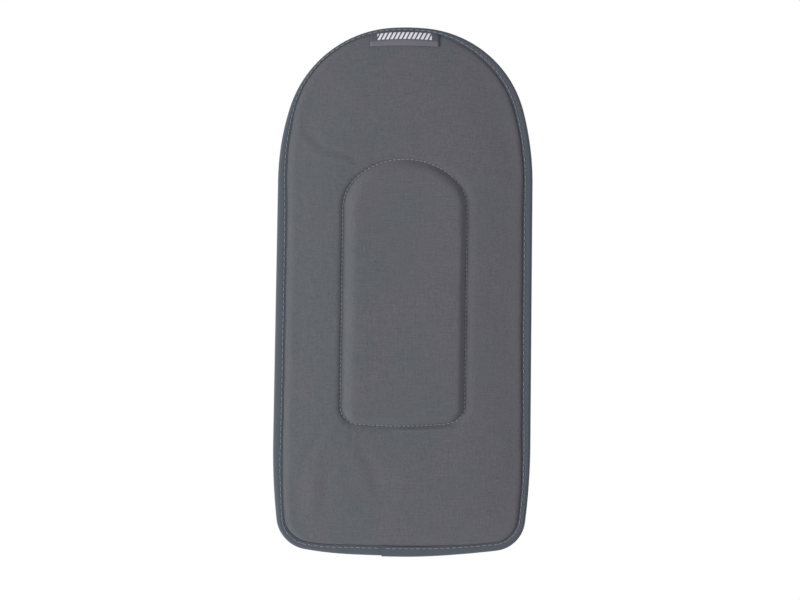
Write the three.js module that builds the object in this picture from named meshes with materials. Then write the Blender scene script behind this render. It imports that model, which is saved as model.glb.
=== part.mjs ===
// A soft back protector: a quilted panel of fabric and foam, arched at the top and bound with
// tape all round, with a raised centre pad on its front and hook tape on its back.
// Millimetres. X is the width, Z the height, and the front faces -Y. The origin is the middle of
// the whole.
import * as THREE from 'three';

// Driving dimensions
const height = 420;              // over all, with the binding's overlap at the bottom
const depth = 20;                // from the centre pad's face to the hooks' tips
const gap = 0.3;                 // clearance between neighbouring pieces
const fabric = 1.0;              // front and back cover
const tape = 0.9;                // binding tape
const backingCloth = 0.8;
const stiffener = 1.2;
const hookBase = 0.8;            // woven base of the hook tape
const hookPile = 1.4;            // height of the hooks on it
const threadWidth = 0.7;
const threadDepth = 0.5;
const padRise = 4;               // how far the centre pad stands above the panel
const padBevel = [[0, 0], [2.8, 2.5], [8, padRise]];   // [inset, rise] of its rounded rim
const padFoot = 1.5;             // inset from the stitch line to where the cover starts to rise
const foamFoot = 2.5;            // the same for the foam beneath it
const seamAllowance = 4;         // of the backing cloth outside the pad's stitches

// The panel's right half from the top centre, clockwise: [radius, turn in degrees]. The straight
// side comes between the two lists, and a bottom arc closes the outline.
const panelAbove = [[176, 4.4], [89.4, 69.4], [212, 15.9]];
const panelBelow = [[508, 7], [26, 75.8]];
const padAbove = [[58, 40], [33.1, 50]];
const padBelow = [[14, 88.5]];
const padHeight = 209.8;         // between the stitch lines at its top and bottom
const padCentreZ = 0.1;

// The rim: both covers meet here as flat flanges inside the binding
const flangeFront = 0.8;         // y of the front cover's face at the rim
const flangeInset = tape + gap;
const frontShoulder = [          // [inset past the binding, share of the dome's rise]
  [0.7, 0], [3, 0.3], [8, 0.65], [15, 1],
];
const backShoulder = [10, 18];   // insets where the back leaves the rim and reaches its height

// The binding
const bindingWidth = 9.3;        // of each leg
const bindingWidthAtTop = 3.2;   // the front leg narrows over the arch, where the label is
const narrowFrom = 120;          // height where the narrowing starts
const stitchShare = 0.75;        // of the leg's width, from the outer edge to the stitches
const overlap = 19;              // of the tape's two ends, at the bottom
const overlapEnd = 15;           // how far left of the centre the outer end lies
const overlapRamp = 8;           // where the outer end climbs onto the inner one
const bindingChamfer = 1.2;

// The label and the hook tape
const labelWidth = 54;
const labelLength = 11;
const labelThickness = 1.1;      // folded double
const labelX = -3;
const hookLength = 110;
const hookWidth = 25;
const hookSelvedge = 2.5;
const hookStitchInset = 1.25;
const hookCorner = 2;
const hookHeights = { upper: 105, lower: -125 };

// The layers' faces, from the back to the front
const hookFace = depth / 2;
const hookBaseBack = hookFace - hookPile;
const hookBaseFront = hookBaseBack - hookBase;
const backCoverBack = hookBaseFront - gap;
const backCoverFront = backCoverBack - fabric;
const hookBobbinBack = backCoverFront - gap;
const stiffenerBack = hookBobbinBack - threadDepth - gap;
const foamBack = stiffenerBack - stiffener - gap;
const padFront = -depth / 2;
const coverFront = padFront + padRise;
const coverBack = coverFront + fabric;
const backingFront = coverBack + gap;
const backingBack = backingFront + backingCloth;
const padBobbinFront = backingBack + gap;
const foamFront = padBobbinFront + threadDepth + gap;
const bindingFront = flangeFront - gap - tape;
const bindingBack = flangeFront + 2 * fabric + 2 * gap + tape;
const overlapLift = tape + gap;
const panelHeight = height - overlapLift;

// An outline symmetric about Z, walked clockwise from its top centre as the front sees it
function outline(above, below, tall, centreZ, arcStep, longest) {
  const turns = [...above, ...below].reduce((sum, [, degrees]) => sum + degrees, 0);
  const closing = THREE.MathUtils.degToRad(180 - turns);
  const run = (arcs, from) => arcs.reduce((at, [radius, degrees]) => {
    const heading = at.heading + THREE.MathUtils.degToRad(degrees);
    return {
      x: at.x + radius * (Math.sin(heading) - Math.sin(at.heading)),
      z: at.z + radius * (Math.cos(heading) - Math.cos(at.heading)),
      heading,
    };
  }, from);
  const start = { x: 0, z: centreZ + tall / 2, heading: 0 };
  const upper = run(above, start);
  const corner = run(below, { ...upper });
  const left = tall - (start.z - corner.z) - corner.x * Math.tan(closing / 2);
  const sideX = Math.cos(upper.heading);
  const sideZ = Math.sin(upper.heading);
  const straight = left / (sideZ + sideX * Math.tan(closing / 2));
  const bottomRadius = (corner.x + straight * sideX) / Math.sin(closing);
  const arcs = below.concat([[bottomRadius, THREE.MathUtils.radToDeg(closing)]]);

  const pieces = [];
  let at = start;
  const add = (radius, turn, length) => {
    pieces.push({ ...at, radius, length });
    at = radius
      ? run([[radius, turn]], at)
      : { x: at.x + sideX * length, z: at.z - sideZ * length, heading: at.heading };
  };
  above.forEach(([radius, turn]) => add(radius, turn, radius * THREE.MathUtils.degToRad(turn)));
  add(0, 0, straight);
  arcs.forEach(([radius, turn]) => add(radius, turn, radius * THREE.MathUtils.degToRad(turn)));
  const half = pieces.reduce((sum, piece) => sum + piece.length, 0);

  // The point at a distance s along the outline, with its inward normal
  const pointAt = (s) => {
    const along = THREE.MathUtils.euclideanModulo(s, 2 * half);
    const mirrored = along > half;
    let rest = mirrored ? 2 * half - along : along;
    const piece = pieces.find((one, i) => {
      if (rest <= one.length || i === pieces.length - 1) return true;
      rest -= one.length;
      return false;
    });
    const heading = piece.heading + (piece.radius ? rest / piece.radius : 0);
    const side = mirrored ? -1 : 1;
    const x = piece.radius
      ? piece.x + piece.radius * (Math.sin(heading) - Math.sin(piece.heading))
      : piece.x + Math.cos(heading) * rest;
    const z = piece.radius
      ? piece.z + piece.radius * (Math.cos(heading) - Math.cos(piece.heading))
      : piece.z - Math.sin(heading) * rest;
    return { x: side * x, z, nx: -side * Math.sin(heading), nz: -Math.cos(heading), s: along };
  };

  const halfStations = [];
  let from = 0;
  for (const piece of pieces) {
    const turn = THREE.MathUtils.radToDeg(piece.length / piece.radius);
    const count = piece.radius ? Math.ceil(Math.max(turn / arcStep, piece.length / longest)) : 1;
    for (let i = 0; i < count; i += 1) halfStations.push(from + (piece.length * i) / count);
    from += piece.length;
  }
  const mirroredStations = halfStations.slice(1).reverse().map((s) => 2 * half - s);
  const stations = [...halfStations, half, ...mirroredStations];
  return { pointAt, half, stations };
}

const panel = outline(panelAbove, panelBelow, panelHeight, overlapLift / 2, 8, 30);
const pad = outline(padAbove, padBelow, padHeight, padCentreZ, 12, 30);

// The stretch where the binding's outer end lies on its inner one
const overlapTo = panel.half + overlapEnd;
const overlapFrom = overlapTo - overlap;
const seamClimb = [overlapFrom - overlapRamp - 2, overlapFrom - 3];
const seamDrop = [overlapTo + 1, overlapTo + 2.5];
const bindingSeam = {
  ...panel,
  stations: [...panel.stations, ...seamClimb, ...seamDrop].sort((a, b) => a - b),
};
const seamLift = ({ s }) => (s > seamClimb[0] + 1 && s < seamDrop[1] - 1 ? overlapLift : 0);

// A ring of points at an inset from an outline, at a height y. Both may vary round the ring.
function ring(shape, inset, y) {
  const value = (given, at) => (typeof given === 'function' ? given(at) : given);
  const points = shape.stations.map((s) => {
    const at = shape.pointAt(s);
    const d = value(inset, at);
    return new THREE.Vector3(at.x + at.nx * d, value(y, at), at.z + at.nz * d);
  });
  return { points, flat: points.map((p) => new THREE.Vector2(p.x, p.z)) };
}

const signedArea = (points) => THREE.ShapeUtils.area(points);

// A closed body through a row of rings. Neighbouring rings have as many points as each other, or
// lie flat one inside the other. A looped row joins its last ring to its first.
function body(rings, looped = false) {
  const vertices = [];
  const first = rings.map(({ points }) => {
    const start = vertices.length;
    vertices.push(...points);
    return start;
  });
  const triangles = [];
  const turn = Math.sign(signedArea(rings[0].flat));
  const flatFaces = (contour, holes, starts, sign) => {
    const all = [contour, ...holes].flat();
    const numbers = [contour, ...holes].flatMap((c, k) => c.map((_, i) => starts[k] + i));
    for (const face of THREE.ShapeUtils.triangulateShape(contour, holes)) {
      const up = Math.sign(signedArea(face.map((i) => all[i]))) === sign;
      triangles.push((up ? face : [...face].reverse()).map((i) => numbers[i]));
    }
  };
  const join = (a, b) => {
    const from = rings[a].flat;
    const to = rings[b].flat;
    if (from.length === to.length) {
      const n = from.length;
      for (let i = 0; i < n; i += 1) {
        const k = (i + 1) % n;
        triangles.push([first[a] + i, first[a] + k, first[b] + k]);
        triangles.push([first[a] + i, first[b] + k, first[b] + i]);
      }
    } else if (Math.abs(signedArea(from)) < Math.abs(signedArea(to))) {
      flatFaces(to, [from], [first[b], first[a]], -turn);
    } else {
      flatFaces(from, [to], [first[a], first[b]], turn);
    }
  };
  for (let i = 0; i + 1 < rings.length; i += 1) join(i, i + 1);
  const last = rings.length - 1;
  if (looped) {
    join(last, 0);
  } else {
    flatFaces(rings[0].flat, [], [first[0]], -turn);
    flatFaces(rings[last].flat, [], [first[last]], turn);
  }
  const volume = triangles.reduce((sum, [a, b, c]) => (
    sum + vertices[a].dot(vertices[b].clone().cross(vertices[c]))
  ), 0);
  const faces = volume < 0 ? triangles.map(([a, b, c]) => [a, c, b]) : triangles;
  const geometry = new THREE.BufferGeometry();
  geometry.setAttribute('position', new THREE.Float32BufferAttribute(
    vertices.flatMap((p) => [p.x, p.y, p.z]), 3));
  geometry.setIndex(faces.flat());
  geometry.computeVertexNormals();
  return geometry;
}

const shifted = ({ points, flat }, y) => ({
  points: points.map((p) => new THREE.Vector3(p.x, p.y + y, p.z)),
  flat,
});

// A sheet of one thickness, from its front face's rings, the innermost first
function sheet(frontRings, thickness) {
  const backRings = frontRings.map((one) => shifted(one, thickness)).reverse();
  return body([...frontRings, ...backRings]);
}

// A thread of rectangular section lying round an outline, its front face at y
function threadLoop(makeRing, inset, y) {
  const near = (at) => inset(at) - threadWidth / 2;
  const far = (at) => inset(at) + threadWidth / 2;
  const back = (at) => y(at) + threadDepth;
  return body([
    makeRing(near, y), makeRing(far, y), makeRing(far, back), makeRing(near, back),
  ], true);
}

const topBlend = (z) => THREE.MathUtils.smoothstep(z, narrowFrom, panelHeight / 2);
const frontLegWidth = ({ z }) => (
  THREE.MathUtils.lerp(bindingWidth, bindingWidthAtTop, topBlend(z))
);

const shoulderAt = (share) => THREE.MathUtils.lerp(flangeFront, coverFront, share);

function frontCover() {
  return sheet([
    ...padBevel.map(([inset, rise]) => ring(pad, padFoot + inset, coverFront - rise)).reverse(),
    ...frontShoulder.map(([past, share]) => (
      ring(panel, (at) => frontLegWidth(at) + past, shoulderAt(share))
    )).reverse(),
    ring(panel, flangeInset, flangeFront),
  ], fabric);
}

function backCover() {
  const flange = flangeFront + fabric + gap;
  return sheet([
    ring(panel, backShoulder[1], backCoverFront),
    ring(panel, backShoulder[0], flange),
    ring(panel, flangeInset, flange),
  ], fabric);
}

function mainFoam() {
  const rim = 13;
  return body([
    ring(panel, 24, foamFront),
    ring(panel, 18, foamFront + 0.9),
    ring(panel, rim, flangeFront),
    ring(panel, rim, flangeFront + 2),
    ring(panel, 17, foamBack),
  ]);
}

function flatLayer(shape, inset, front, thickness) {
  return sheet([ring(shape, inset, front)], thickness);
}

function centrePadFoam() {
  const share = (padRise - gap) / padRise;
  return body(padBevel.map(([inset, rise]) => (
    ring(pad, foamFoot + inset, coverBack - rise * share)
  )).reverse());
}

// The binding's section in (inset, y): a folded tape, open towards the panel's middle. In the
// overlap it is lifted clear of the tape beneath.
function bindingSection(at, lift) {
  const width = frontLegWidth(at);
  const front = bindingFront - lift;
  const back = bindingBack + lift;
  const outer = -lift;
  const section = [
    [width, front], [outer + bindingChamfer, front], [outer, front + bindingChamfer],
    [outer, back - bindingChamfer], [outer + bindingChamfer, back], [bindingWidth, back],
    [bindingWidth, back - tape], [outer + tape, back - tape],
    [outer + tape, front + tape], [width, front + tape],
  ];
  return {
    points: section.map(([inset, y]) => (
      new THREE.Vector3(at.x + at.nx * inset, y, at.z + at.nz * inset)
    )),
    flat: section.map(([inset, y]) => new THREE.Vector2(inset, y)),
  };
}

function edgeBinding() {
  const total = 2 * panel.half;
  const lap = overlapFrom + total;
  const plain = panel.stations.concat(panel.stations.map((s) => s + total))
    .filter((s) => s > overlapFrom + 1 && s < lap - overlapRamp - 1);
  const stations = [overlapFrom, ...plain, lap - overlapRamp, lap - 1, lap + overlap];
  const lift = (s) => (s >= lap - 1 ? overlapLift : 0);
  return body(stations.map((s) => bindingSection(panel.pointAt(s), lift(s))));
}

// The front face's depth at an inset past the binding, between the shoulder's corners
function frontAt(past) {
  const next = frontShoulder.findIndex(([at]) => at >= past);
  if (next < 1) return shoulderAt(next === 0 ? 0 : 1);
  const [a, shareA] = frontShoulder[next - 1];
  const [b, shareB] = frontShoulder[next];
  return shoulderAt(THREE.MathUtils.mapLinear(past, a, b, shareA, shareB));
}

// The folded label lies on the shoulder below the binding, its fold towards the middle
function wovenLabel() {
  const across = 9;
  const down = 8;
  const clearance = 0.45;
  const bow = 0.4;               // the ribbon is stiff, and stands off the shoulder between its ends
  const rimPoints = [];
  for (let s = -labelWidth; s <= labelWidth; s += 0.5) rimPoints.push(panel.pointAt(s));
  const insetAt = (x, z) => Math.min(...rimPoints.map((p) => Math.hypot(p.x - x, p.z - z)));
  const foldZ = panel.pointAt(0).z - bindingWidthAtTop - labelLength;
  const columns = [];
  for (let i = 0; i <= across; i += 1) {
    const x = labelX + labelWidth * (i / across - 0.5);
    const rim = rimPoints.reduce((best, p) => (
      Math.abs(p.x - x) < Math.abs(best.x - x) ? p : best
    ));
    const topZ = rim.z - bindingWidthAtTop - gap - 0.5;
    const skin = [];
    for (let j = 0; j <= down; j += 1) {
      const z = THREE.MathUtils.lerp(topZ, foldZ, j / down);
      const past = insetAt(x, z) - bindingWidthAtTop;
      const off = clearance + bow * Math.sin((Math.PI * j) / down);
      skin.push(new THREE.Vector3(x, frontAt(past) - off, z));
    }
    const faceSkin = skin.map((p) => new THREE.Vector3(p.x, p.y - labelThickness, p.z));
    const points = [...skin, ...faceSkin.reverse()];
    columns.push({ points, flat: points.map((p) => new THREE.Vector2(p.y, p.z)) });
  }
  return body(columns);
}

// A rectangle with rounded corners in the panel's plane
function stripRing(centreZ) {
  const box = new THREE.Path();
  const w = hookLength / 2;
  const h = hookWidth / 2;
  box.moveTo(-w + hookCorner, h).lineTo(w - hookCorner, h);
  box.absarc(w - hookCorner, h - hookCorner, hookCorner, Math.PI / 2, 0, true);
  box.lineTo(w, -h + hookCorner);
  box.absarc(w - hookCorner, -h + hookCorner, hookCorner, 0, -Math.PI / 2, true);
  box.lineTo(-w + hookCorner, -h);
  box.absarc(-w + hookCorner, -h + hookCorner, hookCorner, -Math.PI / 2, -Math.PI, true);
  box.lineTo(-w, h - hookCorner);
  box.absarc(-w + hookCorner, h - hookCorner, hookCorner, Math.PI, Math.PI / 2, true);
  const corners = box.getPoints(3);
  const distinct = corners.filter((p, i) => p.distanceTo(corners.at(i - 1)) > 0.01);
  return (inset, y) => {
    const points = distinct.map((p) => (
      new THREE.Vector3(p.x * (1 - inset / w), y, centreZ + p.y * (1 - inset / h))
    ));
    return { points, flat: points.map((p) => new THREE.Vector2(p.x, p.z)) };
  };
}

function hookStrip(at) {
  return body([
    at(0, hookBaseFront), at(0, hookBaseBack),
    at(hookSelvedge, hookBaseBack), at(hookSelvedge, hookFace),
  ]);
}

const cloth = (colour, roughness = 0.95) => (
  new THREE.MeshStandardMaterial({ color: colour, roughness, metalness: 0 })
);

const backProtector = new THREE.Group();
function add(name, geometry, material) {
  const mesh = new THREE.Mesh(geometry, material);
  mesh.name = name;
  backProtector.add(mesh);
}

const coverCloth = '#5f5e64';
const tapeCloth = '#575c64';
const threadColour = '#7f8488';
const hookColour = '#1d1d20';
const onSeam = (inset, y) => ring(bindingSeam, inset, y);
const onPad = (inset, y) => ring(pad, inset, y);
const constant = (value) => () => value;

add('front_cover', frontCover(), cloth(coverCloth));
add('back_cover', backCover(), cloth(coverCloth));
add('main_foam', mainFoam(), cloth('#3a3d42'));
add('stiffener_sheet', flatLayer(
  panel,
  20,
  stiffenerBack - stiffener,
  stiffener,
), cloth('#d8d8d2', 0.5));
add('backing_cloth', flatLayer(
  pad,
  -seamAllowance,
  backingFront,
  backingCloth,
), cloth('#4a4a4e'));
add('centre_pad_foam', centrePadFoam(), cloth('#3a3d42'));
add('edge_binding', edgeBinding(), cloth(tapeCloth));
add('binding_needle_thread', threadLoop(
  onSeam,
  (at) => stitchShare * frontLegWidth(at),
  (at) => bindingFront - gap - threadDepth - seamLift(at),
), cloth(threadColour));
add('binding_bobbin_thread', threadLoop(
  onSeam,
  constant(stitchShare * bindingWidth),
  (at) => bindingBack + gap + seamLift(at),
), cloth(threadColour));
add('centre_pad_needle_thread', threadLoop(
  onPad,
  constant(0),
  constant(coverFront - gap - threadDepth),
), cloth(threadColour));
add('centre_pad_bobbin_thread', threadLoop(
  onPad,
  constant(0),
  constant(padBobbinFront),
), cloth(threadColour));
add('woven_label', wovenLabel(), cloth('#4d4c54'));
for (const [place, z] of Object.entries(hookHeights)) {
  const strip = stripRing(z);
  const stripThread = (y) => threadLoop(
    (inset, depthAt) => strip(inset(), depthAt()),
    constant(hookStitchInset),
    constant(y),
  );
  add(`${place}_hook_strip`, hookStrip(strip), cloth(hookColour, 0.7));
  add(`${place}_hook_needle_thread`, stripThread(hookBaseBack + gap), cloth(hookColour));
  add(`${place}_hook_bobbin_thread`, stripThread(hookBobbinBack - threadDepth), cloth(hookColour));
}

export default backProtector;
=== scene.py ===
"""The looks of a soft back protector: a quilted panel of fabric and foam, bound with tape all
round, with a raised centre pad on its front and hook tape on its back.

The part's frame is upright: X is the width, Z the height, and the front faces -Y. Lengths in this
file are millimetres, and Blender gets metres."""
import math

import bmesh
import bpy
import numpy as np
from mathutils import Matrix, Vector
from mathutils.kdtree import KDTree


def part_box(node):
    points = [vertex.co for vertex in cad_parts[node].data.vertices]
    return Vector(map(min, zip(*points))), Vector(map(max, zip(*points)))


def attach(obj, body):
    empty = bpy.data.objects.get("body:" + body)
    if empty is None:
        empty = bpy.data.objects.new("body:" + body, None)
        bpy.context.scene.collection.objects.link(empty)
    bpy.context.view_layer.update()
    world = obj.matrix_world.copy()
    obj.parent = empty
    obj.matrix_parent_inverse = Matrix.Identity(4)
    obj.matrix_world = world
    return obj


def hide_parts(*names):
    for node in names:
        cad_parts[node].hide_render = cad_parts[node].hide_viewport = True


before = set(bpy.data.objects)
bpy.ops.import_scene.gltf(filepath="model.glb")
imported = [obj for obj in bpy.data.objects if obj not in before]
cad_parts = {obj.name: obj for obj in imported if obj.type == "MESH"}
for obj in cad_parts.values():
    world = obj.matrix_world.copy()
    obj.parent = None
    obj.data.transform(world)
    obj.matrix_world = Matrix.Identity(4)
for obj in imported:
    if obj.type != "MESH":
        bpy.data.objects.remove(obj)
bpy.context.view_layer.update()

MM = 0.001
rng = np.random.default_rng(11)

# The outlines, as in the part: (radius, turn in degrees) from the top centre, clockwise. The
# panel's were fitted to the photo's silhouette.
PANEL_ABOVE = [(176, 4.4), (89.4, 69.4), (212, 15.9)]
PANEL_BELOW = [(508, 7), (26, 75.8)]
PAD_ABOVE = [(58, 40), (33.1, 50)]
PAD_BELOW = [(14, 88.5)]
PAD_HEIGHT = 209.8
PAD_CENTRE = 0.1

# The tape and its seam
TAPE_THICK = 0.7
TAPE_LIFT = 1.2                  # of the outer end, where the two ends overlap
OVERLAP = 19
OVERLAP_END = 15                 # how far left of the centre the outer end lies
CLIMB = 70                       # the length over which the tape rises to its overlap
GAP = 0.3                        # between the tape and the covers
LABEL_LIFT = 0.45                # of the tape, where the label's top lies under it
SEAM_PITCH = 4.8
BACK_LEG = 9.3

# The covers
CLOTH_THICK = 0.5
EDGE_SWELL = 2.0                 # how far the bound edge stands forward of its flat CAD flange
EDGE_DRAW = 0.8                  # how far its back is drawn forward too
FLANGE_THICK = 1.0               # of the CAD cover where it lies flat in the edge
PAD_RISE = 4                     # of the CAD centre pad above the panel
RIM_REACH = 14                   # how far in from the tape the rim's own shape dies out
LEAN = 0.9                       # how far the arch leans to the right
PUFF = 1.35                      # how far the panel stands out between its seams
PAD_PUFF = 0.2
PAD_PITCH = 3.5                  # of the stitches round the centre pad
ROUND_STEPS = (72, 134, 27, 37)  # round half an outline: its arch, side, corner and bottom

# The hook tape
HOOK_PILE = 1.4                  # how high the hooks stand on their base
HOOK_SELVEDGE = 3.4              # round the base, without hooks
HOOK_PITCH = (1.75, 1.45)        # between hooks, along the strip and across it

# The picture
CAMERA_ROLL = -0.77              # degrees: the object stands slightly askew in the photo
WAVE_RADIANS = 20                # that Blender's Wave node turns through in one unit


def span(node):
    """A CAD node's lowest and highest corner."""
    low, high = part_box(node)
    return np.array(low) / MM, np.array(high) / MM


class Outline:
    """A closed line in the XZ plane, symmetric about Z, walked clockwise from its top centre as
    the front sees it."""

    def __init__(self, above, below, tall, centre):
        closing = math.radians(180 - sum(turn for _, turn in above + below))
        arcs = [(radius, math.radians(turn)) for radius, turn in above]
        upper = self.walk(arcs, (0.0, centre + tall / 2, 0.0))
        corner = self.walk([(r, math.radians(t)) for r, t in below], upper[-1])
        x, z, _ = corner[-1]
        left = tall - (centre + tall / 2 - z) - x * math.tan(closing / 2)
        side_x, side_z = math.cos(upper[-1][2]), math.sin(upper[-1][2])
        straight = left / (side_z + side_x * math.tan(closing / 2))
        bottom = (x + straight * side_x) / math.sin(closing)
        lower = [(r, math.radians(t)) for r, t in below] + [(bottom, closing)]
        end = upper[-1]
        after = (end[0] + side_x * straight, end[1] - side_z * straight, end[2])
        starts = upper[:-1] + [end] + self.walk(lower, after)[:-1]
        lengths = [r * t for r, t in arcs] + [straight] + [r * t for r, t in lower]
        self.bend = np.array([1 / r for r, _ in arcs] + [0] + [1 / r for r, _ in lower])
        self.x, self.z, self.heading = np.array(starts).T
        self.start = np.concatenate([[0], np.cumsum(lengths)[:-1]])
        self.half = float(sum(lengths))
        self.turn = 2 * self.half
        sides = len(above)
        self.breaks = [0, self.start[sides], self.start[-2], self.start[-1], self.half]
        self.tree = None

    @staticmethod
    def walk(arcs, at):
        """The places (x, z, heading) before, between and after some arcs."""
        places = [at]
        for radius, turn in arcs:
            x, z, heading = places[-1]
            after = heading + turn
            x += radius * (math.sin(after) - math.sin(heading))
            z += radius * (math.cos(after) - math.cos(heading))
            places.append((x, z, after))
        return places

    def at(self, s):
        """The points at distances s along the line, and the normals there that point inwards."""
        s = np.mod(s, self.turn)
        side = np.where(s > self.half, -1.0, 1.0)
        t = np.where(s > self.half, self.turn - s, s)
        k = np.clip(np.searchsorted(self.start, t, side="right") - 1, 0, len(self.start) - 1)
        rest = t - self.start[k]
        first = self.heading[k]
        heading = first + rest * self.bend[k]
        curved = self.bend[k] > 0
        radius = 1 / np.where(curved, self.bend[k], 1)
        x = self.x[k] + np.where(
            curved, radius * (np.sin(heading) - np.sin(first)), np.cos(first) * rest)
        z = self.z[k] + np.where(
            curved, radius * (np.cos(heading) - np.cos(first)), -np.sin(first) * rest)
        normal = np.stack([-side * np.sin(heading), -np.cos(heading)], -1)
        return np.stack([side * x, z], -1), normal

    def stations(self, counts):
        """Distances all round, with a count of steps for each section of the half outline."""
        half = np.concatenate([
            np.linspace(a, b, n, endpoint=False)
            for a, b, n in zip(self.breaks, self.breaks[1:], counts)
        ])
        return np.concatenate([half, [self.half], self.turn - half[:0:-1]])

    def ring(self, s, inset):
        """The line's points at distances s, moved inwards."""
        point, normal = self.at(s)
        return point + normal * np.broadcast_to(inset, s.shape)[:, None]

    def clearances(self, points):
        """Each point's distances to the line: sideways, upwards and downwards."""
        x, z = self.at(np.linspace(0, self.half, 700))[0].T
        widest = int(x.argmax())
        across = np.abs(points[:, 0])
        side = np.interp(points[:, 1], z[::-1], x[::-1]) - across
        above = np.interp(across, x[:widest], z[:widest]) - points[:, 1]
        below = points[:, 1] - np.interp(across, x[:widest:-1], z[:widest:-1])
        return side, above, below

    def measure(self, points):
        """Each point's distance inwards from the line, and the nearest place along the line."""
        if self.tree is None:
            self.samples = np.arange(0, self.turn, 0.5)
            self.points, self.normals = self.at(self.samples)
            self.tree = KDTree(len(self.samples))
            for i, (x, z) in enumerate(self.points):
                self.tree.insert((x, z, 0), i)
            self.tree.balance()
        nearest = np.array([self.tree.find((x, z, 0))[1] for x, z in points])
        off = points - self.points[nearest]
        normal = self.normals[nearest]
        tangent = np.stack([-normal[:, 1], normal[:, 0]], -1)
        inwards = (off * normal).sum(-1)
        sideways = (off * tangent).sum(-1)
        return inwards, np.mod(self.samples[nearest] + sideways, self.turn)


def smooth(t):
    """0 below 0, 1 above 1, and an S-curve between."""
    t = np.clip(t, 0, 1)
    return t * t * (3 - 2 * t)


def hills(shortest, longest, count=16):
    """Smooth random hills in the XZ plane, between about -1 and 1."""
    length = rng.uniform(shortest, longest, count)
    angle = rng.uniform(0, math.pi, count)
    phase = rng.uniform(0, 2 * math.pi, count)
    wave = 2 * math.pi / length * np.stack([np.cos(angle), np.sin(angle)])
    return lambda x, z: (
        np.cos(x[..., None] * wave[0] + z[..., None] * wave[1] + phase).sum(-1)
        / math.sqrt(2 * count)
    )


def wander(turn, shortest, longest, count=14):
    """A smooth random wave along a closed line, between about -1 and 1."""
    cycles = np.round(turn / rng.uniform(shortest, longest, count))
    phase = rng.uniform(0, 2 * math.pi, count)
    return lambda s: (
        np.cos(2 * math.pi * s[..., None] * cycles / turn + phase).sum(-1)
        / math.sqrt(2 * count)
    )


def along(turn, knots, blur=9):
    """A smooth value round a closed line, from (distance, value) pairs."""
    at, value = zip(*knots)
    grid = np.arange(0, turn, 1.0)
    plain = np.interp(grid, np.mod(at, turn), value, period=turn)
    reach = np.arange(-3 * blur, 3 * blur + 1)
    weight = np.exp(-0.5 * (reach / blur) ** 2)
    soft = sum(w * np.roll(plain, k) for w, k in zip(weight, reach)) / weight.sum()
    return lambda s: np.interp(s, grid, soft, period=turn)


front_low, front_high = span("front_cover")
tape_low, tape_high = span("edge_binding")
_, back_high = span("back_cover")
panel_tall = tape_high[2] - tape_low[2] - TAPE_LIFT
panel = Outline(PANEL_ABOVE, PANEL_BELOW, panel_tall, TAPE_LIFT / 2)
pad = Outline(PAD_ABOVE, PAD_BELOW, PAD_HEIGHT, PAD_CENTRE)
pad_front = front_low[1]
flange_front = front_high[1] - FLANGE_THICK - EDGE_SWELL
cover_front = pad_front + PAD_RISE
tape_front = tape_low[1] + TAPE_LIFT - EDGE_SWELL
tape_back = tape_high[1] - TAPE_LIFT - EDGE_DRAW
cover_back = back_high[1]

# The front leg of the binding, from its fold to its inner edge, and the seam along it. The
# widths and insets were read from the photo's brightness across the edge.
RIGHT_RIM = [                    # (distance from the top centre, width, stitches' inset)
    (0, 3.3, 2.1), (28, 3.8, 2.6), (45, 5.6, 4.0), (70, 6.5, 4.6), (90, 6.8, 5.2),
    (110, 7.1, 5.5), (135, 7.2, 5.7), (220, 7.7, 6.2), (300, 7.7, 6.2), (380, 7.0, 5.4),
    (440, 6.0, 4.4), (490, 7.0, 5.6), (520, 7.3, 5.7), (545, 7.8, 6.2)]
LEFT_RIM = [
    (28, 3.2, 2.0), (45, 3.1, 2.0), (70, 3.0, 1.9), (90, 3.2, 2.1), (110, 4.0, 2.6),
    (130, 5.2, 3.7), (150, 6.3, 4.6), (170, 7.0, 5.1), (200, 7.9, 6.2), (300, 8.0, 6.4),
    (380, 7.9, 6.3), (415, 7.3, 5.5), (440, 6.8, 4.8), (490, 5.8, 4.0), (520, 7.9, 6.0),
    (545, 7.8, 6.2)]
rim_knots = RIGHT_RIM + [(panel.half, 7.7, 6.0)] + [(-s, w, n) for s, w, n in LEFT_RIM]
leg_plain = along(panel.turn, [(s, width) for s, width, _ in rim_knots])
seam_plain = along(panel.turn, [(s, inset) for s, _, inset in rim_knots])
leg_wave = wander(panel.turn, 18, 90)
seam_wave = wander(panel.turn, 30, 120)


def front_leg(s):
    """The width of the tape on the front."""
    return leg_plain(s) + 0.16 * leg_wave(s)


def seam_inset(s):
    """The distance of the binding's stitches from its fold."""
    return seam_plain(s) + 0.1 * seam_wave(s)


def by_side(shape, s, left, right, top, bottom):
    """A value that differs between the four sides of an outline."""
    _, normal = shape.at(s)
    across, up = normal[..., 0], normal[..., 1]
    return (left * np.maximum(across, 0) ** 2 + right * np.maximum(-across, 0) ** 2
            + top * np.maximum(-up, 0) ** 2 + bottom * np.maximum(up, 0) ** 2)


def bowed(distance, reach):
    """0 at a seam, rising ever more gently to 1 at a reach from it."""
    return 1 - np.clip(1 - distance / reach, 0, 1) ** 1.8


def pucker(s, pitch):
    """1 halfway between two stitches and 0 at the needle holes."""
    return 0.5 - 0.5 * np.cos(2 * math.pi * s / pitch)


def dimples(s, past, deep):
    """What the binding's stitches draw in of a cover, at distances past the tape."""
    return deep * (pucker(s, seam_pitch) - 0.5) * np.exp(-past / 2.2) * smooth(past / 1.5)


broad = hills(55, 150)
middling = hills(22, 45)
seam_pitch = panel.turn / round(panel.turn / SEAM_PITCH)
pad_pitch = pad.turn / round(pad.turn / PAD_PITCH)
shoulder_wave = wander(panel.turn, 25, 110)
pad_wave = wander(pad.turn, 20, 90)

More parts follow.
